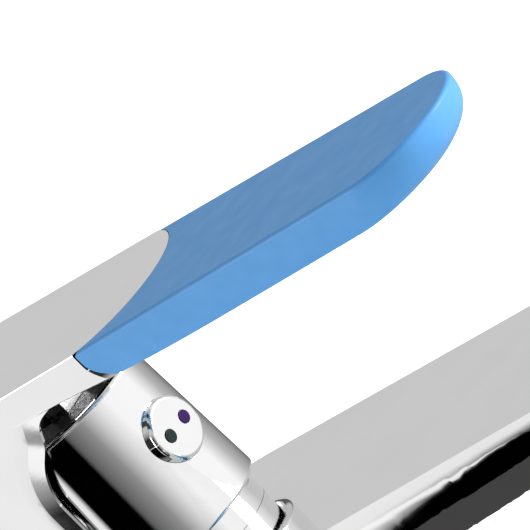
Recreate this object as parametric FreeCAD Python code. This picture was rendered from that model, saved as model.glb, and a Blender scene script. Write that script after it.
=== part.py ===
import FreeCAD, Part
import math
import os

# Single-lever basin mixer tap, in millimetres.
# The origin is the centre of the base on the deck, +Z is up and +X runs along the spout.

V = FreeCAD.Vector
UP = V(0, 0, 1)
FORWARD = V(1, 0, 0)
SIDEWAYS = V(0, 1, 0)
CENTRE = V(0, 0, 0)
FULL_TURN = 360
HALF_TURN = 180
QUARTER_TURN = 90

# Heights above the deck
SPOUT_TOP = 84.1
NECK_GAP = 5.3
BARREL_BOTTOM = SPOUT_TOP + NECK_GAP
BARREL_HEIGHT = 33.3
BARREL_TOP = BARREL_BOTTOM + BARREL_HEIGHT
LEVER_TOP = BARREL_BOTTOM + 47.6
LEVER_THICKNESS = 9.2
LEVER_UNDERSIDE = LEVER_TOP - LEVER_THICKNESS

# Base column
COLUMN_BASE_RADIUS = 25.0
COLUMN_TOP_RADIUS = 26.0
COLUMN_EDGE = 0.7
COLUMN_WALL = 4.2
FLARE_BOTTOM = 44.0
FLARE_STEP = 4.0
FLARE_SECTIONS = [(0.3, 24.9), (0.8, 24.7), (2.0, 24.3), (4.3, 23.6), (8.4, 22.6), (16.0, 21.2),
                  (30.0, 19.5)]
SEAL_GROOVE_INNER = 21.6
SEAL_GROOVE_OUTER = 23.4
SEAL_GROOVE_DEPTH = 1.6

# Spout
SPOUT_HALF_WIDTH = 26.5
SPOUT_TIP_CENTRE = 126.0
SPOUT_TIP_RADIUS = 24.6
SPOUT_DEPTH = 20.5
SPOUT_UNDERSIDE_RISE = 2.0
SPOUT_SECTION = [(0.0, 0.25), (0.2, 0.0), (0.45, 0.3), (0.7, 1.3), (0.9, 3.3), (1.0, 6.0)]
SPOUT_WALL = 3.6
SPOUT_CAVITY_START = 10.0

# Valve body, its water ways and its inlet threads
VALVE_RADIUS = 20.55
VALVE_BOTTOM = 54.0
POCKET_FLOOR = 78.0
POCKET_RADIUS = 12.5
NECK_RADIUS = 13.6
NECK_TOP = 111.0
PORT_X = -2.5
PORT_Y = 5.6
PORT_RADIUS = 2.4
OUTLET_X = 6.4
OUTLET_RADIUS = 3.0
OUTLET_CHANNEL_Z = 72.0
WATER_TUBE_RADIUS = 3.8
WATER_TUBE_START = 12.0
WATER_TUBE_END = 116.5
INLET_Y = 7.0
INLET_THREAD_RADIUS = 4.45
INLET_THREAD_LENGTH = 11.0
STUD_X = 11.0
STUD_THREAD_RADIUS = 3.4
STUD_THREAD_LENGTH = 11.0

# Aerator
AERATOR_X = 126.0
AERATOR_BORE_RADIUS = 11.1
AERATOR_BORE_TOP = 71.8
AERATOR_BOSS_RADIUS = 13.6
AERATOR_CHAMBER_RADIUS = 9.0
AERATOR_CHAMBER_TOP = 80.0
AERATOR_LIP_RADIUS = 12.5
AERATOR_LIP_BOTTOM = 62.7
AERATOR_LIP_TOP = 67.3
AERATOR_INNER_RADIUS = 9.6
AERATOR_SEAL_HEIGHT = 1.8
AERATOR_INSERT_TOP = 69.3
AERATOR_INSERT_WALL = 1.2
AERATOR_INSERT_FLOOR = 2.4
JET_RADIUS = 0.75
JET_RINGS = [(2.4, 6), (4.7, 12), (7.0, 18)]
SCREEN_THICKNESS = 0.6
SCREEN_HOLE_RADIUS = 0.9

# Neck ring and barrel
NECK_RING_BOTTOM_RADIUS = 15.0
NECK_RING_TOP_RADIUS = 14.7
NECK_RING_TOP = 91.0
BARREL_BOTTOM_RADIUS = 17.3
BARREL_TOP_RADIUS = 16.2
BARREL_WALL = 1.3
BARREL_EDGE = 0.8
BARREL_WEB_BOTTOM = 91.1
BARREL_WEB_TOP = 93.4
BARREL_MOUTH_RADIUS = 14.6
BARREL_LIP = 1.3
BARREL_SEAL_HEIGHT = 1.6

# Indicator button on the front of the barrel
BUTTON_Z = BARREL_BOTTOM + 18.2
BUTTON_RADIUS = 6.6
BUTTON_BACK = 15.0
BUTTON_FACE = 18.1
BUTTON_DOME = 0.25
BUTTON_ROUND = 0.9
DOT_RADIUS = 1.4
DOT_SPACING = 5.7
DOT_DEPTH = 0.7
DOT_PROUD = 0.15

# Ceramic cartridge
CARTRIDGE_RADIUS = 12.3
CARTRIDGE_BASE_BOTTOM = 78.3
CARTRIDGE_BASE_TOP = 86.0
CHAMBER_RADIUS = 10.8
CHAMBER_TOP = 100.0
HOUSING_SHOULDER = 110.8
HOUSING_NECK_RADIUS = 9.8
HOUSING_TOP = 114.5
FIXED_DISC_RADIUS = 10.7
FIXED_DISC_THICKNESS = 4.0
MOVING_DISC_RADIUS = 7.7
MOVING_DISC_THICKNESS = 3.0
MIXING_CHAMBER_RADIUS = 5.4
MIXING_CHAMBER_DEPTH = 1.6
CARRIER_HEIGHT = 4.8
CARRIER_HALF_WIDTH = 6.3
CARRIER_SOCKET_RADIUS = 2.6
SEAL_SECTION = 0.8
SEAL_RING_GAP = 0.5
ROTOR_RADIUS = 8.75
ROTOR_BORE_RADIUS = 8.85
ROTOR_FLANGE_RADIUS = 10.5
ROTOR_FLANGE_BOTTOM = 98.3
ROTOR_FLANGE_TOP = 99.9
ROTOR_TOP = 115.0
ROTOR_CHEEK_BOTTOM = 94.2
ROTOR_CHEEK_INNER = 6.6
ROTOR_SEAL_Z = 107.4
ROTOR_SEAL_HEIGHT = 1.8
ROTOR_SEAL_DEPTH = 1.1
PIVOT_Z = 104.0
PIN_RADIUS = 1.5
PIN_HALF_LENGTH = 8.2
STOP_RING_INNER = 9.9
STOP_RING_OUTER = 11.8
STOP_RING_HEIGHT = 1.8
STOP_RING_NOTCHES = 20
NUT_RADIUS = 14.7
NUT_BOTTOM = 104.0
NUT_TOP = 113.4
NUT_LIP_RADIUS = 10.1
NUT_NOTCHES = 6
NUT_NOTCH_WIDTH = 3.0
NUT_NOTCH_DEPTH = 2.0

# Lever stem
LIFT_ANGLE = 20
STEM_HALF_X = 2.75
STEM_HALF_Y = 3.5
STEM_BLOCK_BOTTOM = 101.3
STEM_TOP = 135.0
STEM_ARM = 8.0
STEM_ROD_RADIUS = 1.5
STEM_BALL_RADIUS = 2.2

# Cover over the barrel mouth, which turns with the lever
COVER_RADIUS = 14.3
COVER_TOP = 122.2
COVER_THICKNESS = 2.4
COVER_COLLAR_RADIUS = 9.3
COVER_SLOT_BACK = -10.6
COVER_SLOT_FRONT = 3.3

# Lever and hood
LEVER_REAR_X = -27.5
LEVER_REAR_BOW = 60.0
LEVER_CORNER_RADIUS = 7.5
LEVER_SIDE_START = -5.0
LEVER_HALF_WIDTH = 19.1
LEVER_TIP_CENTRE = 118.4
LEVER_TIP_RADIUS = 16.8
LEVER_UNDERSIDE_CURVE = [(-40, 130.0), (0, 130.0), (20, 129.9), (45, 128.5), (78, 127.8), (110, 127.6),
                         (139, 127.6)]
LEVER_TOP_EDGE = 0.25
LEVER_UPRIGHT = 0.9
LEVER_LOWER_EDGE = 0.6
HOOD_BOTTOM = 96.0
HOOD_ROOF = 129.2
HOOD_WALL = 1.4
HOOD_RIM_DEPTH = 0.75
HOOD_RIM_REACH = 4.5
HOOD_RIM_ROUND = 16.0
HOOD_FRONT_X = -1.0
HOOD_RIM_CURVE = [(-1.0, 111.0), (-0.2, 114.6), (2.0, 118.4), (5.4, 121.7), (8.3, 124.3), (9.8, 126.6),
                  (12.3, 128.7), (15.5, 129.7), (20.0, 129.95)]
HOOD_BLEND_TOP = 134.0
SET_SCREW_Z = 132.5
SET_SCREW_RADIUS = 2.4
SET_SCREW_LENGTH = 8.0
SET_SCREW_SOCKET = 1.45
SET_SCREW_SOCKET_DEPTH = 3.0
PLUG_LENGTH = 4.0

# Grip: depth, side inset and shortening of the tip at each level
GRIP_SECTION = [(0.0, 0.0, 0.0), (2.4, 0.0, 0.3), (4.8, 0.1, 1.2), (7.2, 0.5, 3.2), (9.6, 1.7, 7.0)]
GRIP_TOP_EDGE = 0.8
SEAM_CENTRE_X = 26.0
SEAM_RADIUS = 19.6
SEAM_FLARE = 2.6
SEAM_STRAIGHT = 3.4
SEAM_GAP = 0.15
TONGUE_START = 30.0
TONGUE_END = 112.0
TONGUE_HALF_WIDTH = 11.0
TONGUE_BOTTOM = 131.2
TONGUE_TOP = 134.8
TONGUE_CLEARANCE = 0.1

# Clearances
FIT = 0.05
CLEAR = 0.3
PRINTED_VOLUME = 1000.0


def cylinder(radius, z_low, z_high, x=0.0, y=0.0):
    """Upright cylinder between two heights."""
    return Part.makeCylinder(radius, z_high - z_low, V(x, y, z_low), UP)


def tube(inner, outer, z_low, z_high, x=0.0, y=0.0):
    """Upright tube between two heights."""
    return cylinder(outer, z_low, z_high, x, y).cut(cylinder(inner, z_low, z_high, x, y))


def rod_x(radius, x_low, x_high, y, z):
    """Cylinder along X."""
    return Part.makeCylinder(radius, x_high - x_low, V(x_low, y, z), FORWARD)


def block(x_low, x_high, half_y, z_low, z_high):
    """Box that is centred on the plane Y = 0."""
    return Part.makeBox(x_high - x_low, 2 * half_y, z_high - z_low, V(x_low, -half_y, z_low))


def turned(profile, x=0.0):
    """Solid of revolution about an upright axis, from (radius, height) corners."""
    corners = [V(radius, 0, z) for radius, z in profile]
    wire = Part.makePolygon(corners + corners[:1])
    solid = Part.Face(wire).revolve(CENTRE, UP, FULL_TURN)
    solid.translate(V(x, 0, 0))
    return solid


def capsule(rear_x, rear_radius, tip_x, tip_radius, inset):
    """Plan outline of two round ends joined by their tangent lines, pulled in by inset."""
    lean = (rear_radius - tip_radius) / (tip_x - rear_x)
    across = math.sqrt(1 - lean ** 2)
    rear = rear_radius - inset
    tip = tip_radius - inset
    rear_near = V(rear_x + rear * lean, -rear * across, 0)
    rear_far = V(rear_x + rear * lean, rear * across, 0)
    tip_near = V(tip_x + tip * lean, -tip * across, 0)
    tip_far = V(tip_x + tip * lean, tip * across, 0)
    edges = [
        Part.Arc(rear_far, V(rear_x - rear, 0, 0), rear_near).toShape(),
        Part.LineSegment(rear_near, tip_near).toShape(),
        Part.Arc(tip_near, V(tip_x + tip, 0, 0), tip_far).toShape(),
        Part.LineSegment(tip_far, rear_far).toShape(),
    ]
    return Part.Wire(edges)


def direction(degrees):
    """Unit vector in plan."""
    turn = math.radians(degrees)
    return V(math.cos(turn), math.sin(turn), 0)


def lever_outline(inset):
    """Plan outline of the lever: bowed rear, round rear corners, tapering sides and a round tip."""
    length = LEVER_TIP_CENTRE - LEVER_SIDE_START
    lean = math.degrees(math.asin((LEVER_HALF_WIDTH - LEVER_TIP_RADIUS) / length))
    bow_centre = V(LEVER_REAR_X + LEVER_REAR_BOW, 0, 0)
    corner_reach = LEVER_REAR_BOW - LEVER_CORNER_RADIUS
    side_reach = LEVER_HALF_WIDTH - LEVER_CORNER_RADIUS
    offset = side_reach - (bow_centre.x - LEVER_SIDE_START) * math.sin(math.radians(lean))
    corner_turn = lean + math.degrees(math.asin(offset / corner_reach))
    tip_centre = V(LEVER_TIP_CENTRE, 0, 0)
    rear_middle = V(LEVER_REAR_X + inset, 0, 0)
    tip_middle = V(LEVER_TIP_CENTRE + LEVER_TIP_RADIUS - inset, 0, 0)
    ends = []
    for side in (1, -1):
        corner = bow_centre + direction(side * (HALF_TURN - corner_turn)) * corner_reach
        normal = direction(side * (QUARTER_TURN - lean))
        halfway = direction(side * (HALF_TURN - corner_turn + QUARTER_TURN - lean) / 2)
        corner_radius = LEVER_CORNER_RADIUS - inset
        ends.append([
            corner + direction(side * (HALF_TURN - corner_turn)) * corner_radius,
            corner + halfway * corner_radius,
            corner + normal * corner_radius,
            tip_centre + normal * (LEVER_TIP_RADIUS - inset),
        ])
    far, near = ends
    edges = [
        Part.Arc(far[0], rear_middle, near[0]).toShape(),
        Part.Arc(near[0], near[1], near[2]).toShape(),
        Part.LineSegment(near[2], near[3]).toShape(),
        Part.Arc(near[3], tip_middle, far[3]).toShape(),
        Part.LineSegment(far[3], far[2]).toShape(),
        Part.Arc(far[2], far[1], far[0]).toShape(),
    ]
    return Part.Wire(edges)


def spout_outline(inset):
    return capsule(0.0, SPOUT_HALF_WIDTH, SPOUT_TIP_CENTRE, SPOUT_TIP_RADIUS, inset)


def prism(wire, z_low, z_high):
    """Upright prism over a plan outline."""
    face = Part.Face(wire)
    face.translate(V(0, 0, z_low))
    return face.extrude(V(0, 0, z_high - z_low))


def spout_slab():
    """Spout with crowned sides and an underside that rises towards the tip."""
    wires = []
    for share, inset in SPOUT_SECTION:
        wire = spout_outline(inset)
        wire.rotate(CENTRE, SIDEWAYS, -share * SPOUT_UNDERSIDE_RISE)
        wire.translate(V(0, 0, SPOUT_TOP - share * SPOUT_DEPTH))
        wires.append(wire)
    return Part.makeLoft(wires, True, False)


def underside_z(x):
    """Height of the spout's underside at a distance from the axis."""
    return SPOUT_TOP - SPOUT_DEPTH + x * math.tan(math.radians(SPOUT_UNDERSIDE_RISE))


def spout_cavity():
    """Hollow of the spout, with a boss left around the aerator bore."""
    slab_top = SPOUT_TOP - SPOUT_WALL
    hollow = prism(spout_outline(SPOUT_WALL + SPOUT_WALL / 2), VALVE_BOTTOM, slab_top)
    rear_cut = block(-2 * SPOUT_HALF_WIDTH, SPOUT_CAVITY_START, 2 * SPOUT_HALF_WIDTH, 0, SPOUT_TOP)
    reach = SPOUT_TIP_CENTRE + SPOUT_TIP_RADIUS
    floor_corners = [
        V(0, -reach, 0),
        V(2 * reach, -reach, 0),
        V(2 * reach, -reach, underside_z(2 * reach) + SPOUT_WALL),
        V(0, -reach, underside_z(0) + SPOUT_WALL),
    ]
    floor = Part.Face(Part.makePolygon(floor_corners + floor_corners[:1])).extrude(V(0, 2 * reach, 0))
    boss = cylinder(AERATOR_BOSS_RADIUS, 0, SPOUT_TOP, AERATOR_X)
    return hollow.cut([rear_cut, floor, boss])


def column():
    """Round column, slightly wider towards the spout."""
    edge = COLUMN_EDGE
    top = SPOUT_TOP - SPOUT_DEPTH / 2
    profile = [
        (0, 0),
        (COLUMN_BASE_RADIUS - edge, 0),
        (COLUMN_BASE_RADIUS, edge),
        (COLUMN_TOP_RADIUS, top),
        (0, top),
    ]
    return turned(profile)


def flare():
    """Front of the column, which sweeps forward into the spout's underside."""
    wires = []
    for index, (reach, radius) in enumerate(FLARE_SECTIONS):
        wire = capsule(0.0, COLUMN_BASE_RADIUS, reach, radius, 0)
        wire.translate(V(0, 0, FLARE_BOTTOM + index * FLARE_STEP))
        wires.append(wire)
    return Part.makeLoft(wires, True, False)


def water_way(radius, x_low, x_high):
    """Cylinder along the water channel, which rises with the spout's underside."""
    way = rod_x(radius, x_low, x_high, 0, OUTLET_CHANNEL_Z)
    way.rotate(V(OUTLET_X, 0, OUTLET_CHANNEL_Z), SIDEWAYS, -SPOUT_UNDERSIDE_RISE)
    return way


def spout_body():
    """Hollow casting: column and spout in one, with a hole for the neck and a boss for the aerator."""
    outside = column().fuse([spout_slab(), flare()])
    seat_start = AERATOR_X - AERATOR_BOSS_RADIUS - 1
    cuts = [
        cylinder(COLUMN_BASE_RADIUS - COLUMN_WALL, -CLEAR, SPOUT_TOP - SPOUT_WALL),
        cylinder(NECK_RADIUS + FIT, SPOUT_TOP - 2 * SPOUT_WALL, SPOUT_TOP + CLEAR),
        tube(SEAL_GROOVE_INNER, SEAL_GROOVE_OUTER, -CLEAR, SEAL_GROOVE_DEPTH),
        cylinder(AERATOR_BORE_RADIUS, AERATOR_LIP_BOTTOM, AERATOR_BORE_TOP, AERATOR_X),
        cylinder(AERATOR_CHAMBER_RADIUS, AERATOR_LIP_BOTTOM, AERATOR_CHAMBER_TOP, AERATOR_X),
        water_way(WATER_TUBE_RADIUS + FIT, seat_start, AERATOR_X),
        spout_cavity(),
    ]
    return outside.cut(cuts).removeSplitter()


def valve_body():
    """Brass core: flange under the top plate, threaded neck, cartridge pocket, ports and inlet threads."""
    flange_top = SPOUT_TOP - SPOUT_WALL - FIT
    outside = cylinder(VALVE_RADIUS, VALVE_BOTTOM, flange_top)
    outside = outside.fuse(cylinder(NECK_RADIUS, POCKET_FLOOR, NECK_TOP))
    thread_top = VALVE_BOTTOM + INLET_THREAD_LENGTH
    outlet_low = OUTLET_CHANNEL_Z - OUTLET_RADIUS / 2
    cuts = [
        cylinder(POCKET_RADIUS, POCKET_FLOOR, NECK_TOP + CLEAR),
        cylinder(OUTLET_RADIUS, outlet_low, POCKET_FLOOR + CLEAR, OUTLET_X),
        water_way(OUTLET_RADIUS, OUTLET_X, WATER_TUBE_START + 1),
        water_way(WATER_TUBE_RADIUS + FIT, WATER_TUBE_START, VALVE_RADIUS + 1),
        cylinder(STUD_THREAD_RADIUS, VALVE_BOTTOM - CLEAR, VALVE_BOTTOM + STUD_THREAD_LENGTH, STUD_X),
    ]
    for side in (-1, 1):
        inlet_y = side * INLET_Y
        port_y = side * PORT_Y
        cuts.append(cylinder(INLET_THREAD_RADIUS, VALVE_BOTTOM - CLEAR, thread_top, PORT_X, inlet_y))
        cuts.append(cylinder(PORT_RADIUS, thread_top - CLEAR, POCKET_FLOOR + CLEAR, PORT_X, port_y))
    return outside.cut(cuts)


def water_tube():
    """Tube that carries the mixed water from the valve body to the aerator."""
    outside = water_way(WATER_TUBE_RADIUS, WATER_TUBE_START + FIT, WATER_TUBE_END)
    return outside.cut(water_way(OUTLET_RADIUS, WATER_TUBE_START, WATER_TUBE_END))


def base_seal():
    return tube(SEAL_GROOVE_INNER + FIT, SEAL_GROOVE_OUTER - FIT, 0, SEAL_GROOVE_DEPTH - FIT)


def neck_ring():
    """Bright sleeve that shows in the gap under the barrel."""
    inner = NECK_RADIUS + FIT
    profile = [
        (inner, SPOUT_TOP + FIT),
        (NECK_RING_BOTTOM_RADIUS, SPOUT_TOP + FIT),
        (NECK_RING_TOP_RADIUS, NECK_RING_TOP),
        (inner, NECK_RING_TOP),
    ]
    return turned(profile)


def barrel_radius(z):
    """Outer radius of the barrel at a height."""
    share = (z - BARREL_BOTTOM) / BARREL_HEIGHT
    return BARREL_BOTTOM_RADIUS + share * (BARREL_TOP_RADIUS - BARREL_BOTTOM_RADIUS)


def barrel_shell():
    """Slightly conical shell that screws on the neck, with an open mouth and a hole for the button."""
    outer = Part.makeCone(BARREL_BOTTOM_RADIUS, BARREL_TOP_RADIUS, BARREL_HEIGHT, V(0, 0, BARREL_BOTTOM), UP)
    outer = outer.makeFillet(BARREL_EDGE, [edge for edge in outer.Edges if edge.Closed])
    lip_bottom = BARREL_TOP - BARREL_LIP
    lower = turned([
        (0, BARREL_BOTTOM - CLEAR),
        (barrel_radius(BARREL_BOTTOM) - BARREL_WALL, BARREL_BOTTOM - CLEAR),
        (barrel_radius(BARREL_WEB_BOTTOM) - BARREL_WALL, BARREL_WEB_BOTTOM),
        (0, BARREL_WEB_BOTTOM),
    ])
    upper = turned([
        (0, BARREL_WEB_TOP),
        (barrel_radius(BARREL_WEB_TOP) - BARREL_WALL, BARREL_WEB_TOP),
        (barrel_radius(lip_bottom) - BARREL_WALL, lip_bottom),
        (0, lip_bottom),
    ])
    web_bore = cylinder(NECK_RADIUS + FIT, BARREL_BOTTOM, BARREL_TOP)
    mouth = cylinder(BARREL_MOUTH_RADIUS, lip_bottom - CLEAR, BARREL_TOP + CLEAR)
    button_hole = rod_x(BUTTON_RADIUS + FIT, 0, BUTTON_FACE + 1, 0, BUTTON_Z)
    return outer.cut([lower, upper, web_bore, mouth, button_hole])


def barrel_seal():
    """Ring of rubber that keeps the barrel from working loose on the neck."""
    low = BARREL_WEB_TOP + FIT
    return tube(NECK_RADIUS + FIT, NECK_RADIUS + BARREL_SEAL_HEIGHT, low, low + BARREL_SEAL_HEIGHT)


def button_dot(side, radius, x_low, x_high):
    return rod_x(radius, x_low, x_high, side * DOT_SPACING / 2, BUTTON_Z)


def indicator_button():
    """Plug with a rolled rim and a slightly domed face, recessed for the two dots."""
    button = rod_x(BUTTON_RADIUS, BUTTON_BACK, BUTTON_FACE + 2 * BUTTON_DOME, 0, BUTTON_Z)
    dome_radius = (BUTTON_RADIUS ** 2 + BUTTON_DOME ** 2) / (2 * BUTTON_DOME)
    dome = Part.makeSphere(dome_radius)
    dome.rotate(CENTRE, UP, HALF_TURN)
    dome.translate(V(BUTTON_FACE + BUTTON_DOME - dome_radius, 0, BUTTON_Z))
    button = button.common(dome)
    rim = [edge for edge in button.Edges if edge.Closed and edge.CenterOfMass.x > BUTTON_FACE - FIT]
    button = button.makeFillet(BUTTON_ROUND, rim)
    recess_floor = BUTTON_FACE - DOT_DEPTH
    recesses = [button_dot(side, DOT_RADIUS + FIT, recess_floor, BUTTON_FACE + 1) for side in (-1, 1)]
    return button.cut(recesses)


def marker(side):
    """Coloured dot set in the button; +Y is the hot side."""
    x_high = BUTTON_FACE + BUTTON_DOME + DOT_PROUD
    dot = button_dot(side, DOT_RADIUS, BUTTON_FACE - DOT_DEPTH + FIT, x_high)
    front = [edge for edge in dot.Edges if edge.Closed and edge.CenterOfMass.x > BUTTON_FACE]
    return dot.makeFillet(DOT_PROUD, front)


def port_places():
    """Plan centres and radii of the cold, hot and outlet ports."""
    return [(PORT_X, -PORT_Y, PORT_RADIUS), (PORT_X, PORT_Y, PORT_RADIUS), (OUTLET_X, 0.0, OUTLET_RADIUS)]


def port_holes(z_low, z_high):
    return [cylinder(radius, z_low, z_high, x, y) for x, y, radius in port_places()]


def port_rings(z_low, z_high, slack):
    """Rings round the three ports: seals, or their grooves when slack is positive."""
    rings = []
    for x, y, radius in port_places():
        inner = radius + SEAL_RING_GAP - slack
        outer = radius + SEAL_RING_GAP + SEAL_SECTION + slack
        rings.append(tube(inner, outer, z_low, z_high, x, y))
    return rings


def cartridge_base():
    """Bottom plate of the cartridge, with three ports and a seal groove round each on both faces."""
    plate = cylinder(CARTRIDGE_RADIUS, CARTRIDGE_BASE_BOTTOM, CARTRIDGE_BASE_TOP - FIT)
    cuts = port_holes(CARTRIDGE_BASE_BOTTOM, CARTRIDGE_BASE_TOP)
    cuts += port_rings(CARTRIDGE_BASE_BOTTOM - CLEAR, CARTRIDGE_BASE_BOTTOM + SEAL_SECTION, FIT)
    cuts += port_rings(CARTRIDGE_BASE_TOP - SEAL_SECTION, CARTRIDGE_BASE_TOP, FIT)
    return plate.cut(cuts)


def port_seals():
    return Part.makeCompound(port_rings(POCKET_FLOOR + FIT, CARTRIDGE_BASE_BOTTOM + SEAL_SECTION - FIT, 0))


def disc_seals():
    bottom = CARTRIDGE_BASE_TOP - SEAL_SECTION + FIT
    return Part.makeCompound(port_rings(bottom, CARTRIDGE_BASE_TOP - FIT, 0))


def fixed_ceramic_disc():
    """Lower ceramic disc, pierced by the three ports."""
    top = CARTRIDGE_BASE_TOP + FIXED_DISC_THICKNESS
    return cylinder(FIXED_DISC_RADIUS, CARTRIDGE_BASE_TOP, top).cut(port_holes(CARTRIDGE_BASE_TOP, top))


def moving_ceramic_disc():
    """Upper ceramic disc, with the mixing chamber in its lower face."""
    low = CARTRIDGE_BASE_TOP + FIXED_DISC_THICKNESS + FIT
    disc = cylinder(MOVING_DISC_RADIUS, low, low + MOVING_DISC_THICKNESS)
    return disc.cut(cylinder(MIXING_CHAMBER_RADIUS, low, low + MIXING_CHAMBER_DEPTH))


def disc_carrier():
    """Block on the moving disc, with flats that run between the rotor's cheeks and a ball socket."""
    low = CARTRIDGE_BASE_TOP + FIXED_DISC_THICKNESS + MOVING_DISC_THICKNESS + 2 * FIT
    top = low + CARRIER_HEIGHT
    round_block = cylinder(MOVING_DISC_RADIUS, low, top)
    flats = block(-MOVING_DISC_RADIUS, MOVING_DISC_RADIUS, CARRIER_HALF_WIDTH, low, top)
    socket_low = PIVOT_Z - STEM_ARM - STEM_BALL_RADIUS - CLEAR
    return round_block.common(flats).cut(cylinder(CARRIER_SOCKET_RADIUS, socket_low, top + 1))


def cartridge_housing():
    """Shell of the cartridge: a wide chamber for the discs and a neck that the rotor turns in."""
    outside = cylinder(CARTRIDGE_RADIUS, CARTRIDGE_BASE_TOP, HOUSING_SHOULDER)
    outside = outside.fuse(cylinder(HOUSING_NECK_RADIUS, CHAMBER_TOP, HOUSING_TOP))
    chamber = cylinder(CHAMBER_RADIUS, CARTRIDGE_BASE_TOP, CHAMBER_TOP)
    return outside.cut([chamber, cylinder(ROTOR_BORE_RADIUS, CHAMBER_TOP - CLEAR, HOUSING_TOP)])


def stem_window():
    """Space that the stem sweeps inside the rotor, from closed to fully lifted."""
    lean = math.tan(math.radians(LIFT_ANGLE))
    side = STEM_HALF_X / math.cos(math.radians(LIFT_ANGLE)) + CLEAR
    foot = STEM_ROD_RADIUS + 2 * CLEAR
    top = ROTOR_TOP + CLEAR
    knee = STEM_BLOCK_BOTTOM - CLEAR
    bottom = ROTOR_CHEEK_BOTTOM
    corners = [
        V(-foot - CLEAR, 0, bottom),
        V((PIVOT_Z - bottom) * lean + foot, 0, bottom),
        V((PIVOT_Z - knee) * lean + side, 0, knee),
        V(side, 0, PIVOT_Z),
        V(side, 0, top),
        V(-(top - PIVOT_Z) * lean - side, 0, top),
        V(-side, 0, PIVOT_Z),
        V(-side, 0, knee),
    ]
    half = STEM_HALF_Y + CLEAR
    face = Part.Face(Part.makePolygon(corners + corners[:1]))
    face.translate(V(0, -half, 0))
    return face.extrude(V(0, 2 * half, 0))


def cross_rod(radius, half_length, z):
    """Cylinder along Y, centred on the axis."""
    return Part.makeCylinder(radius, 2 * half_length, V(0, -half_length, z), SIDEWAYS)


def cartridge_rotor():
    """Swivel that turns in the housing, with two cheeks that guide the disc carrier."""
    reach = CARTRIDGE_RADIUS
    flange = cylinder(ROTOR_FLANGE_RADIUS, ROTOR_FLANGE_BOTTOM, ROTOR_FLANGE_TOP)
    shaft = cylinder(ROTOR_RADIUS, ROTOR_FLANGE_BOTTOM, ROTOR_TOP)
    cheeks = cylinder(ROTOR_FLANGE_RADIUS, ROTOR_CHEEK_BOTTOM, ROTOR_FLANGE_TOP)
    lane = block(-reach, reach, ROTOR_CHEEK_INNER, ROTOR_CHEEK_BOTTOM, ROTOR_FLANGE_BOTTOM)
    groove_low = ROTOR_SEAL_Z - ROTOR_SEAL_HEIGHT / 2
    groove = tube(ROTOR_RADIUS - ROTOR_SEAL_DEPTH, reach, groove_low, groove_low + ROTOR_SEAL_HEIGHT)
    pin_hole = cross_rod(PIN_RADIUS + FIT / 2, PIN_HALF_LENGTH, PIVOT_Z)
    outside = shaft.fuse([flange, cheeks.cut(lane)])
    return outside.cut([stem_window(), groove, pin_hole]).removeSplitter()


def rotor_seal():
    low = ROTOR_SEAL_Z - ROTOR_SEAL_HEIGHT / 2 + FIT
    inner = ROTOR_RADIUS - ROTOR_SEAL_DEPTH + FIT
    return tube(inner, ROTOR_RADIUS + FIT / 2, low, low + ROTOR_SEAL_HEIGHT - 2 * FIT)


def pivot_pin():
    return cross_rod(PIN_RADIUS, PIN_HALF_LENGTH - FIT, PIVOT_Z)


def stop_ring():
    """Notched ring that limits how far the lever turns towards hot."""
    low = NUT_TOP + FIT
    ring = tube(STOP_RING_INNER, STOP_RING_OUTER, low, low + STOP_RING_HEIGHT)
    notches = []
    for index in range(STOP_RING_NOTCHES):
        turn = 2 * math.pi * index / STOP_RING_NOTCHES
        x = STOP_RING_OUTER * math.cos(turn)
        y = STOP_RING_OUTER * math.sin(turn)
        notches.append(cylinder(STOP_RING_HEIGHT / 3, low, low + STOP_RING_HEIGHT, x, y))
    return ring.cut(notches)


def retaining_nut():
    """Union nut that clamps the cartridge, with spanner notches in its top edge."""
    nut = cylinder(NUT_RADIUS, NUT_BOTTOM, NUT_TOP)
    cuts = [
        cylinder(NECK_RADIUS + FIT, NUT_BOTTOM, NECK_TOP + FIT),
        cylinder(NUT_LIP_RADIUS, NUT_BOTTOM, NUT_TOP),
    ]
    for index in range(NUT_NOTCHES // 2):
        notch = block(-NUT_RADIUS, NUT_RADIUS, NUT_NOTCH_WIDTH / 2, NUT_TOP - NUT_NOTCH_DEPTH, NUT_TOP)
        notch.rotate(CENTRE, UP, FULL_TURN / NUT_NOTCHES * (index + 0.5))
        middle = cylinder(STOP_RING_OUTER + CLEAR, NUT_BOTTOM, NUT_TOP)
        cuts.append(notch.cut(middle))
    return nut.cut(cuts)


def lever_stem():
    """Stem that joins the lever to the discs: a flat bar, the pivot eye and a ball foot."""
    bar = block(-STEM_HALF_X, STEM_HALF_X, STEM_HALF_Y, STEM_BLOCK_BOTTOM, STEM_TOP)
    foot_z = PIVOT_Z - STEM_ARM
    foot = cylinder(STEM_ROD_RADIUS, foot_z, STEM_BLOCK_BOTTOM + 1)
    ball = Part.makeSphere(STEM_BALL_RADIUS, V(0, 0, foot_z))
    eye = cross_rod(PIN_RADIUS + FIT, STEM_HALF_Y, PIVOT_Z)
    return bar.fuse([foot, ball]).cut(eye)


def slide_cover():
    """Dark disc in the barrel's mouth, slotted for the stem, on a collar that sits on the rotor."""
    disc = cylinder(COVER_RADIUS, COVER_TOP - COVER_THICKNESS, COVER_TOP)
    collar = cylinder(COVER_COLLAR_RADIUS, ROTOR_TOP + FIT, COVER_TOP - FIT)
    slot = block(COVER_SLOT_BACK, COVER_SLOT_FRONT, STEM_HALF_Y + CLEAR, ROTOR_TOP, COVER_TOP)
    return disc.fuse(collar).cut(slot)


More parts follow.
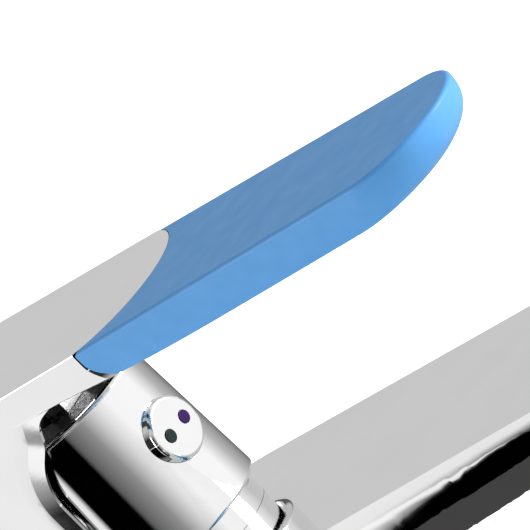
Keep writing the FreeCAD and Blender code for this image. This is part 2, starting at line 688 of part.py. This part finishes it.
def seam_tool(slack):
    """Round plug that bounds the chrome in front: straight above, flared towards the underside."""
    low = V(SEAM_RADIUS + SEAM_FLARE + slack, 0, LEVER_UNDERSIDE - 1)
    bend = V(SEAM_RADIUS + slack, 0, LEVER_TOP - SEAM_STRAIGHT)
    middle = V(SEAM_RADIUS + SEAM_FLARE * 0.25 + slack, 0, (low.z + bend.z) / 2)
    top = V(SEAM_RADIUS + slack, 0, LEVER_TOP + 1)
    edges = [
        Part.LineSegment(V(0, 0, low.z), low).toShape(),
        Part.Arc(low, middle, bend).toShape(),
        Part.LineSegment(bend, top).toShape(),
        Part.LineSegment(top, V(0, 0, top.z)).toShape(),
        Part.LineSegment(V(0, 0, top.z), V(0, 0, low.z)).toShape(),
    ]
    tool = Part.Face(Part.Wire(edges)).revolve(CENTRE, UP, FULL_TURN)
    tool.translate(V(SEAM_CENTRE_X, 0, 0))
    return tool


def plan_v(place):
    """Point of the middle plane from (x, z)."""
    return V(place[0], 0, place[1])


def side_tool(edges):
    """Extrudes a closed outline of the middle plane over the lever's full width."""
    face = Part.Face(Part.Wire(edges))
    face.translate(V(0, -2 * LEVER_HALF_WIDTH, 0))
    return face.extrude(V(0, 4 * LEVER_HALF_WIDTH, 0))


def chain(corners):
    """Line segments that join the corners in turn."""
    return [Part.LineSegment(first, second).toShape() for first, second in zip(corners, corners[1:])]


def hood_relief():
    """Space in front of the hood and below its upper rim."""
    points = [plan_v(place) for place in HOOD_RIM_CURVE]
    rim = Part.BSplineCurve()
    rim.interpolate(Points=points, InitialTangent=UP, FinalTangent=FORWARD)
    low_z = HOOD_BOTTOM - 1
    far_x = LEVER_TIP_CENTRE + 2 * LEVER_TIP_RADIUS
    corners = [
        points[-1],
        V(points[-1].x, 0, LEVER_TOP),
        V(far_x, 0, LEVER_TOP),
        V(far_x, 0, low_z),
        V(points[0].x, 0, low_z),
        points[0],
    ]
    return side_tool([rim.toShape()] + chain(corners))


def hood_skirt():
    """Walls of the hood with a rounded front rim, still solid inside."""
    skirt = prism(lever_outline(0), HOOD_BOTTOM, HOOD_BLEND_TOP).cut(hood_relief())
    rim = []
    for edge in skirt.Edges:
        middle = edge.valueAt((edge.FirstParameter + edge.LastParameter) / 2)
        on_side = abs(middle.y) > LEVER_HALF_WIDTH - 1
        in_front = HOOD_FRONT_X - FIT < middle.x < HOOD_RIM_CURVE[-1][0] - 1
        if on_side and in_front and HOOD_BOTTOM + 1 < middle.z < LEVER_UNDERSIDE_CURVE[0][1] + FIT:
            rim.append(edge)
    skirt = skirt.makeChamfer(HOOD_RIM_REACH, HOOD_RIM_DEPTH, rim)
    shoulder = []
    for edge in skirt.Edges:
        middle = edge.valueAt((edge.FirstParameter + edge.LastParameter) / 2)
        on_side = abs(middle.y) > LEVER_HALF_WIDTH - HOOD_RIM_DEPTH / 2
        behind = HOOD_FRONT_X - HOOD_RIM_REACH - 1 < middle.x < HOOD_RIM_CURVE[-1][0] - 1
        if on_side and behind and HOOD_BOTTOM + 1 < middle.z < HOOD_BLEND_TOP - FIT:
            shoulder.append(edge)
    return skirt.makeFillet(HOOD_RIM_ROUND, shoulder)


def lever_underside():
    """Everything below the lever's bowed underside."""
    curve = Part.BSplineCurve()
    points = [plan_v(place) for place in LEVER_UNDERSIDE_CURVE]
    curve.interpolate(points)
    floor = LEVER_UNDERSIDE - LEVER_THICKNESS
    below = [V(points[-1].x, 0, floor), V(points[0].x, 0, floor)]
    return side_tool([curve.toShape()] + chain(points[-1:] + below + points[:1]))


def lever_bar():
    """Flat bar of the chrome lever with rounded edges, from rear to tip."""
    bar = prism(lever_outline(0), LEVER_UNDERSIDE - 1, LEVER_TOP).cut(lever_underside())
    top_edges = [edge for edge in bar.Edges if edge.BoundBox.ZMin > LEVER_TOP - FIT]
    bar = bar.makeFillet(LEVER_TOP_EDGE, top_edges)
    lower_edges = []
    for edge in bar.Edges:
        middle = edge.valueAt((edge.FirstParameter + edge.LastParameter) / 2)
        upright = abs(edge.tangentAt(edge.FirstParameter).z) > LEVER_UPRIGHT
        if middle.z < LEVER_TOP - 4 * LEVER_LOWER_EDGE and not upright:
            lower_edges.append(edge)
    return bar.makeFillet(LEVER_LOWER_EDGE, lower_edges)


def lever_whole():
    """Outside of lever and hood in one, before it is hollowed and divided at the seam."""
    return lever_bar().fuse(hood_skirt()).removeSplitter()


def front_half():
    reach = LEVER_TIP_CENTRE + LEVER_TIP_RADIUS
    return block(SEAM_CENTRE_X, reach + 1, LEVER_HALF_WIDTH + 1, LEVER_UNDERSIDE - 2, LEVER_TOP + 1)


def tongue(slack):
    """Core of the lever that the grip slides on."""
    half = TONGUE_HALF_WIDTH + slack
    box = block(TONGUE_START, TONGUE_END + slack, half, TONGUE_BOTTOM - slack, TONGUE_TOP + slack)
    upright = []
    for edge in box.Edges:
        size = edge.BoundBox
        if size.XMin > TONGUE_END - 1 and size.YLength < FIT:
            upright.append(edge)
    return box.makeFillet(TONGUE_HALF_WIDTH - CLEAR, upright)


def lever_hood():
    """Chrome lever: the plate up to the seam, the hood round the barrel and the tongue for the grip."""
    whole = lever_whole().cut(front_half().cut(seam_tool(0)))
    cavity = prism(lever_outline(HOOD_WALL), HOOD_BOTTOM - 1, HOOD_ROOF)
    limits = block(LEVER_REAR_X, HOOD_RIM_CURVE[-1][0], LEVER_HALF_WIDTH, HOOD_BOTTOM - 1, HOOD_ROOF)
    cavity = cavity.common(limits)
    solid = whole.cut(cavity).fuse(tongue(0))
    slot_x = STEM_HALF_X + FIT
    stem_slot = block(-slot_x, slot_x, STEM_HALF_Y + FIT, HOOD_ROOF - 1, STEM_TOP + FIT)
    screw_hole = rod_x(SET_SCREW_RADIUS + FIT, LEVER_REAR_X - 1, -STEM_HALF_X, 0, SET_SCREW_Z)
    return solid.cut([stem_slot, screw_hole]).removeSplitter()


def grip_outline(inset, pull):
    return capsule(LEVER_SIDE_START, LEVER_HALF_WIDTH, LEVER_TIP_CENTRE - pull, LEVER_TIP_RADIUS, inset)


def grip_bar():
    """Flat bar with softly rounded sides and a tip that curves up from below."""
    wires = []
    for depth, inset, pull in GRIP_SECTION:
        wire = grip_outline(inset, pull)
        wire.translate(V(0, 0, LEVER_TOP - depth))
        wires.append(wire)
    bar = Part.makeLoft(wires, True, False)
    top_edges = [edge for edge in bar.Edges if edge.BoundBox.ZMin > LEVER_TOP - FIT]
    return bar.makeFillet(GRIP_TOP_EDGE, top_edges).cut(lever_underside())


def lever_grip():
    """Coloured grip over the front of the lever, with a round tip and a pocket for the tongue."""
    front = grip_bar().common(front_half())
    return front.cut([seam_tool(SEAM_GAP), tongue(TONGUE_CLEARANCE)])


def hexagon(radius, x_low, x_high, z):
    """Hexagonal prism along X."""
    corners = []
    for index in range(6):
        turn = math.pi * index / 3
        corners.append(V(x_low, radius * math.cos(turn), z + radius * math.sin(turn)))
    return Part.Face(Part.makePolygon(corners + corners[:1])).extrude(V(x_high - x_low, 0, 0))


def set_screw():
    """Grub screw that holds the lever on the stem, with its socket towards the rear."""
    front = -STEM_HALF_X - FIT
    rear = front - SET_SCREW_LENGTH
    screw = rod_x(SET_SCREW_RADIUS, rear, front, 0, SET_SCREW_Z)
    return screw.cut(hexagon(SET_SCREW_SOCKET, rear, rear + SET_SCREW_SOCKET_DEPTH, SET_SCREW_Z))


def screw_plug():
    """Plug that closes the screw hole, flush with the back of the hood."""
    plug = rod_x(SET_SCREW_RADIUS, LEVER_REAR_X - 1, LEVER_REAR_X + PLUG_LENGTH, 0, SET_SCREW_Z)
    return plug.common(lever_whole())


def aerator_housing():
    """Threaded sleeve of the aerator with its visible lip, which has two spanner flats."""
    x = AERATOR_X
    lip = cylinder(AERATOR_LIP_RADIUS, AERATOR_LIP_BOTTOM, AERATOR_LIP_TOP, x)
    bottom = [edge for edge in lip.Edges if edge.Closed and edge.CenterOfMass.z < AERATOR_LIP_BOTTOM + FIT]
    lip = lip.makeFillet(COLUMN_EDGE, bottom)
    sleeve_top = AERATOR_BORE_TOP - AERATOR_SEAL_HEIGHT - FIT
    sleeve = cylinder(AERATOR_BORE_RADIUS - FIT, AERATOR_LIP_BOTTOM + 1, sleeve_top, x)
    return lip.fuse(sleeve).cut(cylinder(AERATOR_INNER_RADIUS, AERATOR_LIP_BOTTOM - 1, sleeve_top, x))


def aerator_insert():
    """Plastic insert with rings of jet holes in its floor."""
    low = AERATOR_LIP_BOTTOM + COLUMN_EDGE
    cup = cylinder(AERATOR_INNER_RADIUS - FIT, low, AERATOR_INSERT_TOP, AERATOR_X)
    wall = AERATOR_INNER_RADIUS - AERATOR_INSERT_WALL
    cuts = [cylinder(wall, low + AERATOR_INSERT_FLOOR, AERATOR_INSERT_TOP, AERATOR_X)]
    cuts.append(cylinder(JET_RADIUS, low - CLEAR, low + 2 * AERATOR_INSERT_FLOOR, AERATOR_X))
    for ring_radius, count in JET_RINGS:
        for index in range(count):
            turn = 2 * math.pi * index / count
            x = AERATOR_X + ring_radius * math.cos(turn)
            y = ring_radius * math.sin(turn)
            cuts.append(cylinder(JET_RADIUS, low - CLEAR, low + 2 * AERATOR_INSERT_FLOOR, x, y))
    return cup.cut(cuts)


def aerator_screen():
    """Pierced strainer on top of the insert."""
    low = AERATOR_INSERT_TOP + FIT
    screen = cylinder(AERATOR_INNER_RADIUS - FIT, low, low + SCREEN_THICKNESS, AERATOR_X)
    cuts = []
    for ring_radius, count in JET_RINGS:
        for index in range(count):
            turn = 2 * math.pi * index / count
            x = AERATOR_X + ring_radius * math.cos(turn)
            y = ring_radius * math.sin(turn)
            cuts.append(cylinder(SCREEN_HOLE_RADIUS, low - CLEAR, low + 1, x, y))
    return screen.cut(cuts)


def aerator_seal():
    low = AERATOR_BORE_TOP - AERATOR_SEAL_HEIGHT
    return tube(AERATOR_INNER_RADIUS, AERATOR_BORE_RADIUS - FIT, low, AERATOR_BORE_TOP - FIT, AERATOR_X)


def hot_marker():
    return marker(1)


def cold_marker():
    return marker(-1)


SUB_PARTS = [
    spout_body, valve_body, water_tube, base_seal, neck_ring, barrel_shell, barrel_seal,
    indicator_button, hot_marker, cold_marker, cartridge_base, port_seals, disc_seals,
    fixed_ceramic_disc, moving_ceramic_disc, disc_carrier, cartridge_housing, cartridge_rotor,
    rotor_seal, pivot_pin, stop_ring, retaining_nut, lever_stem, slide_cover, lever_hood,
    lever_grip, set_screw, screw_plug, aerator_housing, aerator_insert, aerator_screen, aerator_seal,
]

os.makedirs("parts", exist_ok=True)
for make in SUB_PARTS:
    shape = make()
    name = make.__name__
    box = shape.BoundBox
    shape.exportStep("parts/" + name + ".step")
    print(name, shape.isValid(), len(shape.Solids), round(shape.Volume / PRINTED_VOLUME, 2), "cm3",
          [round(value, 1) for value in (box.XMin, box.XMax, box.YMin, box.YMax, box.ZMin, box.ZMax)])
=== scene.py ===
import bpy
import math
from mathutils import Matrix, Vector


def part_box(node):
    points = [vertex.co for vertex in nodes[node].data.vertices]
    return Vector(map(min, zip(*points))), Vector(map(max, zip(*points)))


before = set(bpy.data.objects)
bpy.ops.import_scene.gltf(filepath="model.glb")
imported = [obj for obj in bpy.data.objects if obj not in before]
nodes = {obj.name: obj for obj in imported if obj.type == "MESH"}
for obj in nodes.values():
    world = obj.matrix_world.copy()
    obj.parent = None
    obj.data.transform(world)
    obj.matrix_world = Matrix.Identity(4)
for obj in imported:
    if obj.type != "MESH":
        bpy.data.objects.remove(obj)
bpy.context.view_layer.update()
scene = bpy.context.scene

# ---- camera ---------------------------------------------------------------------------------

# Angles as in the photo; lengths in metres, the lens in millimetres
AZIMUTH = math.radians(49)
ELEVATION = math.radians(13)
ROLL = math.radians(45)
VIEW_WIDTH = 0.1007
LENS = 1200
AIM_RIGHT = 0.0147
AIM_UP = 0.0493


def camera_axes():
    """Right, up and back of the camera, rolled by ROLL about its line of sight."""
    a, e = AZIMUTH, ELEVATION
    back = Vector((math.sin(a) * math.cos(e), -math.cos(a) * math.cos(e), math.sin(e)))
    level = Vector((math.cos(a), math.sin(a), 0))
    upright = back.cross(level)
    right = level * math.cos(ROLL) - upright * math.sin(ROLL)
    up = level * math.sin(ROLL) + upright * math.cos(ROLL)
    return right, up, back


def add_camera():
    data = bpy.data.cameras.new("camera")
    data.lens = LENS
    camera = bpy.data.objects.new("camera", data)
    scene.collection.objects.link(camera)
    right, up, back = camera_axes()
    barrel_foot = Vector((0, 0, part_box("barrel_shell")[0].z))
    target = barrel_foot + right * AIM_RIGHT + up * AIM_UP
    distance = VIEW_WIDTH * LENS / data.sensor_width
    turn = Matrix((right, up, back)).transposed().to_4x4()
    camera.matrix_world = Matrix.Translation(target + back * distance) @ turn
    data.clip_start = distance / 100
    data.clip_end = distance * 10
    scene.camera = camera


# ---- studio ---------------------------------------------------------------------------------

FLOOR_GLOW = 0.7
FLOOR_REACH = 12
OVERHEAD = (0.6, 0.615, 0.61, 1)
CLOTH = (0.06, 0.058, 0.058, 1)
STRIP_LEFT, STRIP_RIGHT = -0.06, 0.3
STRIP_NEAR, STRIP_FAR = -0.12, -0.028
STRIP_HEIGHT = 0.004
DISC_HOLE = 0.045
DISC_REACH = 4.0
DISC_HEIGHT = 0.002
DISC_STEPS = 72
LAMP_SIZE = 0.9
LAMP_AIM = Vector((0, 0, 0.1))

# Compass direction in degrees, counted from +X, and brightness there
FLOOR_STOPS = [(-180, 0.7), (-155, 0.95), (-126, 0.85), (-118, 0.0), (-76, 0.0), (-70, 0.12), (-45, 0.28),
               (-20, 0.75), (0, 1.0), (50, 1.0), (80, 0.5), (120, 0.2), (128, 0.1), (142, 0.1), (180, 0.7)]
NEAR_STOPS = [(-180, 1.0), (-119.5, 1.0), (-118, 0.0), (-80, 0.0), (-60, 1.0), (180, 1.0)]
WORLD_STOPS = [(-180, 0.6), (-126, 0.65), (-118, 0.03), (-76, 0.03), (-70, 0.12), (-45, 0.28), (-20, 0.75),
               (0, 1.0), (50, 0.95), (80, 0.6), (180, 0.6)]

# Distance from the tap in metres, and the share of FLOOR_STOPS over NEAR_STOPS there
DISTANCE_STOPS = [(0.05, 0.0), (0.08, 1.0), (0.14, 0.97), (0.2, 0.88), (0.235, 0.8), (0.265, 0.15),
                  (0.3, 0.1), (0.325, 1.0)]

# Height of the line of sight, and the share of OVERHEAD there
HEIGHT_STOPS = [(0.35, 0.0), (0.6, 1.0)]


def new_material(name):
    """Node material with its tree and shader, for the functions below to fill."""
    material = bpy.data.materials.new(name)
    material.use_nodes = True
    return material, material.node_tree, material.node_tree.nodes["Principled BSDF"]


def link(tree, node, output, socket):
    tree.links.new(node.outputs[output], socket)


def add_mesh(name, corners, faces, material):
    mesh = bpy.data.meshes.new(name)
    mesh.from_pydata(corners, [], faces)
    mesh.materials.append(material)
    thing = bpy.data.objects.new(name, mesh)
    scene.collection.objects.link(thing)
    return thing


def flat_corners(left, right, near, far, height):
    return [(left, near, height), (right, near, height), (right, far, height), (left, far, height)]


def add_floor():
    """Plain pale floor that glows a little, so that it stays pale everywhere."""
    material, tree, shader = new_material("floor_paint")
    shader.inputs["Base Color"].default_value = (0.9, 0.9, 0.9, 1)
    shader.inputs["Roughness"].default_value = 0.9
    shader.inputs["Emission Color"].default_value = (1, 1, 1, 1)
    shader.inputs["Emission Strength"].default_value = FLOOR_GLOW
    corners = flat_corners(-FLOOR_REACH, FLOOR_REACH, -FLOOR_REACH, FLOOR_REACH, 0)
    add_mesh("floor", corners, [(0, 1, 2, 3)], material)


def ramp(tree, socket, stops):
    """Grey ramp through (position, grey) stops, driven by a value."""
    node = tree.nodes.new("ShaderNodeValToRGB")
    elements = node.color_ramp.elements
    while len(elements) < len(stops):
        elements.new(0.5)
    for element, (position, grey) in zip(elements, stops):
        element.position = position
        element.color = (grey, grey, grey, 1)
    tree.links.new(socket, node.inputs["Fac"])
    return node.outputs["Color"]


def compass(tree, vector, stops):
    """Grey that follows the compass direction; stops lists (degrees from -180 to 180, grey)."""
    radial = tree.nodes.new("ShaderNodeTexGradient")
    radial.gradient_type = "RADIAL"
    tree.links.new(vector, radial.inputs["Vector"])
    return ramp(tree, radial.outputs["Fac"], [((degrees + 180) / 360, grey) for degrees, grey in stops])


def add_mix(tree, factor, first):
    """Mix of two colours; the caller sets or links the second one."""
    mixer = tree.nodes.new("ShaderNodeMix")
    mixer.data_type = "RGBA"
    tree.links.new(factor, mixer.inputs["Factor"])
    tree.links.new(first, mixer.inputs["A"])
    return mixer


def glowing_material(name):
    """Node material that only glows, with its tree and its glow."""
    material = bpy.data.materials.new(name)
    material.use_nodes = True
    tree = material.node_tree
    tree.nodes.clear()
    glow = tree.nodes.new("ShaderNodeEmission")
    surface = tree.nodes.new("ShaderNodeOutputMaterial")
    link(tree, glow, "Emission", surface.inputs["Surface"])
    return material, tree, glow


def only_reflected(item):
    """Keeps a piece of the stage out of everything but mirror reflections."""
    item.visible_camera = False
    item.visible_diffuse = False
    item.visible_shadow = False
    item.visible_transmission = False


def add_strip():
    """Dark cloth beside the spout, seen only in reflections."""
    material, tree, glow = glowing_material("strip")
    glow.inputs["Color"].default_value = CLOTH
    corners = flat_corners(STRIP_LEFT, STRIP_RIGHT, STRIP_NEAR, STRIP_FAR, STRIP_HEIGHT)
    only_reflected(add_mesh("strip", corners, [(0, 1, 2, 3)], material))


def disc_material():
    """Bright and dark sectors, which differ near the tap and further out."""
    material, tree, glow = glowing_material("reflector")
    source = tree.nodes.new("ShaderNodeTexCoord")
    length = tree.nodes.new("ShaderNodeVectorMath")
    length.operation = "LENGTH"
    link(tree, source, "Object", length.inputs[0])
    distance = ramp(tree, length.outputs["Value"], DISTANCE_STOPS)
    near_sectors = compass(tree, source.outputs["Object"], NEAR_STOPS)
    far_sectors = compass(tree, source.outputs["Object"], FLOOR_STOPS)
    mixer = add_mix(tree, distance, near_sectors)
    tree.links.new(far_sectors, mixer.inputs["B"])
    link(tree, mixer, "Result", glow.inputs["Color"])
    return material


def add_reflector():
    """Wide disc just above the floor, round the tap, seen only in reflections."""
    corners = []
    for step in range(DISC_STEPS):
        turn = 2 * math.pi * step / DISC_STEPS
        for reach in (DISC_HOLE, DISC_REACH):
            corners.append((reach * math.cos(turn), reach * math.sin(turn), DISC_HEIGHT))
    faces = []
    for inner in range(0, len(corners), 2):
        next_inner = (inner + 2) % len(corners)
        faces.append((inner, inner + 1, next_inner + 1, next_inner))
    only_reflected(add_mesh("reflector", corners, faces, disc_material()))


def add_lamp(name, place, power):
    """Soft square lamp that points at the middle of the tap."""
    data = bpy.data.lights.new(name, "AREA")
    data.shape = "SQUARE"
    data.size = LAMP_SIZE
    data.energy = power
    lamp = bpy.data.objects.new(name, data)
    scene.collection.objects.link(lamp)
    lamp.location = place
    lamp.rotation_mode = "QUATERNION"
    lamp.rotation_quaternion = (LAMP_AIM - Vector(place)).to_track_quat("-Z", "Y")


def add_world():
    """Grey studio: plain overhead, bright and dark sectors lower down."""
    world = bpy.data.worlds.new("studio")
    world.use_nodes = True
    scene.world = world
    tree = world.node_tree
    source = tree.nodes.new("ShaderNodeTexCoord")
    parts = tree.nodes.new("ShaderNodeSeparateXYZ")
    link(tree, source, "Generated", parts.inputs["Vector"])
    height = ramp(tree, parts.outputs["Z"], HEIGHT_STOPS)
    mixer = add_mix(tree, height, compass(tree, source.outputs["Generated"], WORLD_STOPS))
    mixer.inputs["B"].default_value = OVERHEAD
    link(tree, mixer, "Result", tree.nodes["Background"].inputs["Color"])


def add_studio():
    add_world()
    scene.view_settings.view_transform = "Standard"
    add_floor()
    add_lamp("key", (1.6, 1.25, 0.45), 58)
    add_lamp("fill", (-1.2, -1.2, 0.45), 14)
    add_reflector()
    add_strip()


# ---- materials ------------------------------------------------------------------------------

# Range of a noise texture's value that the colours and the roughness follow
TEXTURE_LOW = 0.3
TEXTURE_HIGH = 0.7

# Stretch of the tool marks, and of the wiping marks on the chrome
ACROSS_Z = (0.05, 0.05, 1)
ALONG_X = (0.04, 1, 1)
WIPED = (0.15, 1, 1)


def coordinates(tree, stretch):
    """Object coordinates in metres, stretched along the axes."""
    source = tree.nodes.new("ShaderNodeTexCoord")
    mapping = tree.nodes.new("ShaderNodeMapping")
    mapping.inputs["Scale"].default_value = stretch
    link(tree, source, "Object", mapping.inputs["Vector"])
    return mapping


def noise(tree, scale, stretch=(1, 1, 1), detail=3.0):
    texture = tree.nodes.new("ShaderNodeTexNoise")
    texture.inputs["Scale"].default_value = scale
    texture.inputs["Detail"].default_value = detail
    link(tree, coordinates(tree, stretch), "Vector", texture.inputs["Vector"])
    return texture


def shift_roughness(tree, shader, texture, low, high):
    """Roughness between low and high, following a texture."""
    span = tree.nodes.new("ShaderNodeMapRange")
    span.inputs["From Min"].default_value = TEXTURE_LOW
    span.inputs["From Max"].default_value = TEXTURE_HIGH
    span.inputs["To Min"].default_value = low
    span.inputs["To Max"].default_value = high
    link(tree, texture, "Fac", span.inputs["Value"])
    link(tree, span, "Result", shader.inputs["Roughness"])


def shift_color(tree, shader, texture, first, second):
    """Base colour between two colours, following a texture."""
    blend = tree.nodes.new("ShaderNodeValToRGB")
    start, end = blend.color_ramp.elements
    start.position = TEXTURE_LOW
    start.color = (*first, 1)
    end.position = TEXTURE_HIGH
    end.color = (*second, 1)
    link(tree, texture, "Fac", blend.inputs["Fac"])
    link(tree, blend, "Color", shader.inputs["Base Color"])


def add_bump(tree, shader, texture, strength, depth):
    bump = tree.nodes.new("ShaderNodeBump")
    bump.inputs["Strength"].default_value = strength
    bump.inputs["Distance"].default_value = depth
    link(tree, texture, "Fac", bump.inputs["Height"])
    link(tree, bump, "Normal", shader.inputs["Normal"])


def polished_chrome():
    """Mirror plate with faint smudges and hairline wiping marks."""
    material, tree, shader = new_material("polished_chrome")
    shader.inputs["Metallic"].default_value = 1
    shift_color(tree, shader, noise(tree, 60), (0.90, 0.905, 0.90), (0.935, 0.94, 0.935))
    shift_roughness(tree, shader, noise(tree, 90, (1, 1, 1), 5.0), 0.015, 0.05)
    add_bump(tree, shader, noise(tree, 900, WIPED), 0.02, 0.0002)
    return material


def satin_plastic():
    """Blue grip: even satin plastic with a fine moulded grain."""
    material, tree, shader = new_material("satin_plastic")
    shader.inputs["Specular IOR Level"].default_value = 0.22
    shift_color(tree, shader, noise(tree, 240, (1, 1, 1), 4.0), (0.066, 0.246, 0.535), (0.074, 0.262, 0.56))
    shift_roughness(tree, shader, noise(tree, 160), 0.4, 0.5)
    add_bump(tree, shader, noise(tree, 4200), 0.12, 0.00005)
    return material


def moulded(name, first, second, low, high, grain=2600, strength=0.2, gloss=0.5):
    """Moulded plastic, rubber or ceramic: two close colours, uneven gloss and a grain."""
    material, tree, shader = new_material(name)
    shader.inputs["Specular IOR Level"].default_value = gloss
    shift_color(tree, shader, noise(tree, 320, (1, 1, 1), 5.0), first, second)
    shift_roughness(tree, shader, noise(tree, 500), low, high)
    add_bump(tree, shader, noise(tree, grain), strength, 0.00006)
    return material


def machined(name, first, second, low, high, stretch):
    """Turned or drawn metal, with tool marks across its axis."""
    material, tree, shader = new_material(name)
    shader.inputs["Metallic"].default_value = 1
    shift_color(tree, shader, noise(tree, 150, (1, 1, 1), 6.0), first, second)
    shift_roughness(tree, shader, noise(tree, 700, stretch), low, high)
    add_bump(tree, shader, noise(tree, 1500, stretch), 0.25, 0.00005)
    return material


def paint(material, *names):
    for name in names:
        for item in nodes[name].material_slots:
            item.material = material


paint(polished_chrome(), "spout_body", "neck_ring", "barrel_shell", "indicator_button", "lever_hood",
      "screw_plug", "aerator_housing")
paint(satin_plastic(), "lever_grip")
paint(moulded("hot_dot", (0.020, 0.002, 0.055), (0.030, 0.004, 0.08), 0.2, 0.3, gloss=0.12), "hot_marker")
paint(moulded("cold_dot", (0.005, 0.012, 0.012), (0.009, 0.020, 0.019), 0.2, 0.3, gloss=0.12), "cold_marker")
paint(moulded("black_plastic", (0.008, 0.008, 0.009), (0.016, 0.016, 0.017), 0.45, 0.65), "slide_cover")
paint(moulded("grey_plastic", (0.28, 0.29, 0.31), (0.34, 0.35, 0.37), 0.4, 0.55),
      "cartridge_base", "cartridge_housing", "aerator_insert")
paint(moulded("white_plastic", (0.66, 0.66, 0.63), (0.74, 0.74, 0.71), 0.35, 0.5),
      "cartridge_rotor", "disc_carrier")
paint(moulded("red_plastic", (0.42, 0.03, 0.02), (0.52, 0.05, 0.035), 0.35, 0.5), "stop_ring")
paint(moulded("ceramic", (0.76, 0.75, 0.70), (0.82, 0.81, 0.77), 0.06, 0.14, 5000, 0.05),
      "fixed_ceramic_disc", "moving_ceramic_disc")
paint(moulded("rubber", (0.012, 0.012, 0.012), (0.03, 0.029, 0.028), 0.6, 0.85, 1800, 0.35),
      "base_seal", "barrel_seal", "port_seals", "disc_seals", "rotor_seal", "aerator_seal")
paint(machined("steel", (0.50, 0.50, 0.51), (0.60, 0.60, 0.60), 0.2, 0.38, ACROSS_Z),
      "lever_stem", "set_screw", "pivot_pin", "aerator_screen")
paint(machined("brass", (0.60, 0.42, 0.17), (0.72, 0.53, 0.24), 0.18, 0.36, ACROSS_Z),
      "valve_body", "retaining_nut")
paint(machined("brass_tube", (0.58, 0.41, 0.17), (0.70, 0.52, 0.24), 0.18, 0.36, ALONG_X), "water_tube")

add_camera()
add_studio()
